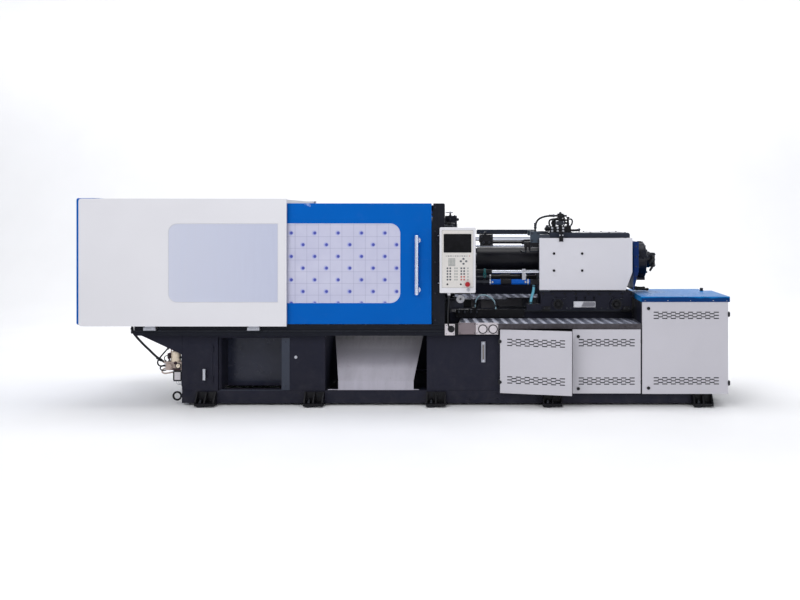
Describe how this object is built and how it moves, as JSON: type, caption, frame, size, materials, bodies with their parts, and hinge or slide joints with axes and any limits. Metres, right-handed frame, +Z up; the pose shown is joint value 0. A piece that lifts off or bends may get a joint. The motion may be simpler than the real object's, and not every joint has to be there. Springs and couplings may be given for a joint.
{
  "type": "injection moulding machine",
  "caption": "Horizontal plastic injection moulding machine: guarded clamp unit, injection unit on a sliding carriage, operator's panel, drop chute, cabinets and steel base on levelling feet.",
  "frame": {"origin": "centre of the whole object's bounding box on the floor", "axes": "+X from the clamp end towards the injection end, +Y away from the operator's side, +Z up"},
  "size_m": [6.32, 1.68, 2.02],
  "materials": {
    "bare_steel": "machined, lightly oiled",
    "barrel_cover_paint": "gloss black enamel",
    "bed_paint": "satin dark grey enamel",
    "black_paint": "semi-gloss black enamel",
    "blue_cylinder": "gloss blue enamel",
    "blue_paint": "gloss blue enamel",
    "cabinet_paint": "fine textured grey powder coat",
    "cast_paint": "satin grey enamel",
    "chrome_steel": "hard chromed and ground",
    "chute_sheet": "plain rolled sheet",
    "clear_hose": "smooth pale blue tube",
    "cover_blue": "semi-gloss blue enamel",
    "dark_steel": "nitrided grey",
    "frame_paint": "satin dark grey enamel",
    "gate_film": "clear sheet with a pale patterned protective film",
    "handle_metal": "satin anodised",
    "key_metal": "nickel plated",
    "lock_metal": "nickel plated",
    "membrane": "printed membrane, matt",
    "motor_paint": "gloss dark enamel",
    "panel_plastic": "fine textured off-white powder coat",
    "platen_iron": "painted casting with machined faces",
    "red_plastic": "moulded, semi-gloss",
    "rubber": "smooth hose cover",
    "tread_plate": "raised five-bar tread",
    "white_paint": "fine textured light grey powder coat",
    "window_film": "clear sheet with a pale blue-white protective film"
  },
  "bodies": {
    "base": {"clamp_bed": "bed_paint", "injection_bed": "bed_paint", "feet": "black_paint", "drop_chute": "chute_sheet", "gate_rails": "frame_paint", "fixed_platen": "platen_iron", "cylinder_platen": "platen_iron", "tie_bars": "chrome_steel", "clamp_cylinder": "black_paint", "end_cover": "blue_paint", "guard_frame": "frame_paint", "clamp_covers": "white_paint", "service_fittings": "cast_paint", "step_plates": "tread_plate", "cabinet_panels": "bed_paint", "hood": "blue_paint", "motor_and_pump": "motor_paint", "guide_rods": "chrome_steel", "lubrication_unit": "cast_paint", "lube_hose": "rubber", "cooling_hose": "clear_hose", "panel_cable": "rubber"},
    "moving_platen": {"moving_platen": "platen_iron", "clamp_ram": "chrome_steel"},
    "ejector": {"ejector": "bare_steel"},
    "front_gate": {"front_gate": "blue_paint", "front_gate_window": "gate_film", "front_gate_handle": "handle_metal"},
    "rear_gate": {"rear_gate": "blue_paint"},
    "clamp_guard": {"clamp_guard": "white_paint", "clamp_guard_window": "window_film", "guard_carriages": "bare_steel"},
    "panel": {"panel_housing": "panel_plastic", "panel_face": "membrane"},
    "emergency_stop": {"emergency_stop": "red_plastic"},
    "key_switch": {"key_switch": "key_metal"},
    "service_door": {"service_door": "bed_paint"},
    "cabinet_door_1": {"cabinet_door_1": "cabinet_paint"},
    "cabinet_door_2": {"cabinet_door_2": "cabinet_paint"},
    "cabinet_door_3": {"cabinet_door_3": "cabinet_paint"},
    "electrical_door": {"electrical_door": "cabinet_paint"},
    "door_2_lock_upper": {"door_2_lock_upper": "lock_metal"},
    "door_2_lock_lower": {"door_2_lock_lower": "lock_metal"},
    "door_3_lock_upper": {"door_3_lock_upper": "lock_metal"},
    "door_3_lock_lower": {"door_3_lock_lower": "lock_metal"},
    "carriage": {"carriage": "bed_paint", "front_plate": "platen_iron", "barrel": "dark_steel", "nozzle": "bare_steel", "barrel_cover": "barrel_cover_paint", "injection_covers": "white_paint", "top_plate": "cast_paint", "carriage_cylinders": "blue_cylinder", "hose_manifold": "bare_steel", "manifold_hose": "rubber", "water_hose": "clear_hose"},
    "thrust_block": {"thrust_block": "platen_iron", "rear_housing": "cover_blue", "screw_motor": "motor_paint"},
    "screw": {"screw": "bare_steel"}
  },
  "joints": [
    {"name": "clamp_stroke", "type": "slide", "parent": "base", "child": "moving_platen", "axis": [1, 0, 0], "range_m": [0, 0.54]},
    {"name": "ejector_stroke", "type": "slide", "parent": "moving_platen", "child": "ejector", "axis": [1, 0, 0], "range_m": [0, 0.12]},
    {"name": "front_gate_slide", "type": "slide", "parent": "base", "child": "front_gate", "axis": [1, 0, 0], "range_m": [-1.2, 0]},
    {"name": "rear_gate_slide", "type": "slide", "parent": "base", "child": "rear_gate", "axis": [1, 0, 0], "range_m": [-1.2, 0]},
    {"name": "clamp_guard_slide", "type": "slide", "parent": "base", "child": "clamp_guard", "axis": [1, 0, 0], "range_m": [0, 1.1]},
    {"name": "panel_swivel", "type": "hinge", "parent": "base", "child": "panel", "pos_m": [0.347, -0.69, 1.43], "axis": [0, 0, 1], "range_deg": [-75, 15], "deforming": ["panel_cable"]},
    {"name": "emergency_stop_press", "type": "slide", "parent": "panel", "child": "emergency_stop", "axis": [0, 1, 0], "range_m": [0, 0.006]},
    {"name": "key_turn", "type": "hinge", "parent": "panel", "child": "key_switch", "pos_m": [0.635, -0.8, 1.147], "axis": [0, 1, 0], "range_deg": [0, 60]},
    {"name": "service_door_hinge", "type": "hinge", "parent": "base", "child": "service_door", "pos_m": [-1.857, -0.587, 0.405], "axis": [0, 0, 1], "range_deg": [0, 100]},
    {"name": "cabinet_door_1_hinge", "type": "hinge", "parent": "base", "child": "cabinet_door_1", "pos_m": [0.9315, -0.636, 0.44], "axis": [0, 0, 1], "range_deg": [-100, 11.6]},
    {"name": "cabinet_door_2_hinge", "type": "hinge", "parent": "base", "child": "cabinet_door_2", "pos_m": [2.304, -0.636, 0.44], "axis": [0, 0, 1], "range_deg": [0, 100]},
    {"name": "cabinet_door_3_hinge", "type": "hinge", "parent": "base", "child": "cabinet_door_3", "pos_m": [3.151, -0.636, 0.57], "axis": [0, 0, 1], "range_deg": [0, 100]},
    {"name": "electrical_door_hinge", "type": "hinge", "parent": "base", "child": "electrical_door", "pos_m": [0.555, 0.829, 0.54], "axis": [0, 0, 1], "range_deg": [0, 100]},
    {"name": "door_2_lock_upper_turn", "type": "hinge", "parent": "cabinet_door_2", "child": "door_2_lock_upper", "pos_m": [1.694, -0.64, 0.681], "axis": [0, 1, 0], "range_deg": [0, 90]},
    {"name": "door_2_lock_lower_turn", "type": "hinge", "parent": "cabinet_door_2", "child": "door_2_lock_lower", "pos_m": [1.694, -0.64, 0.177], "axis": [0, 1, 0], "range_deg": [0, 90]},
    {"name": "door_3_lock_upper_turn", "type": "hinge", "parent": "cabinet_door_3", "child": "door_3_lock_upper", "pos_m": [2.373, -0.64, 0.952], "axis": [0, 1, 0], "range_deg": [0, 90]},
    {"name": "door_3_lock_lower_turn", "type": "hinge", "parent": "cabinet_door_3", "child": "door_3_lock_lower", "pos_m": [2.373, -0.64, 0.183], "axis": [0, 1, 0], "range_deg": [0, 90]},
    {"name": "carriage_slide", "type": "slide", "parent": "base", "child": "carriage", "axis": [1, 0, 0], "range_m": [-0.295, 0]},
    {"name": "injection_stroke", "type": "slide", "parent": "carriage", "child": "thrust_block", "axis": [1, 0, 0], "range_m": [0, 0.22]},
    {"name": "screw_spin", "type": "hinge", "parent": "thrust_block", "child": "screw", "pos_m": [1.5, 0, 1.404], "axis": [1, 0, 0], "continuous": true}
  ]
}
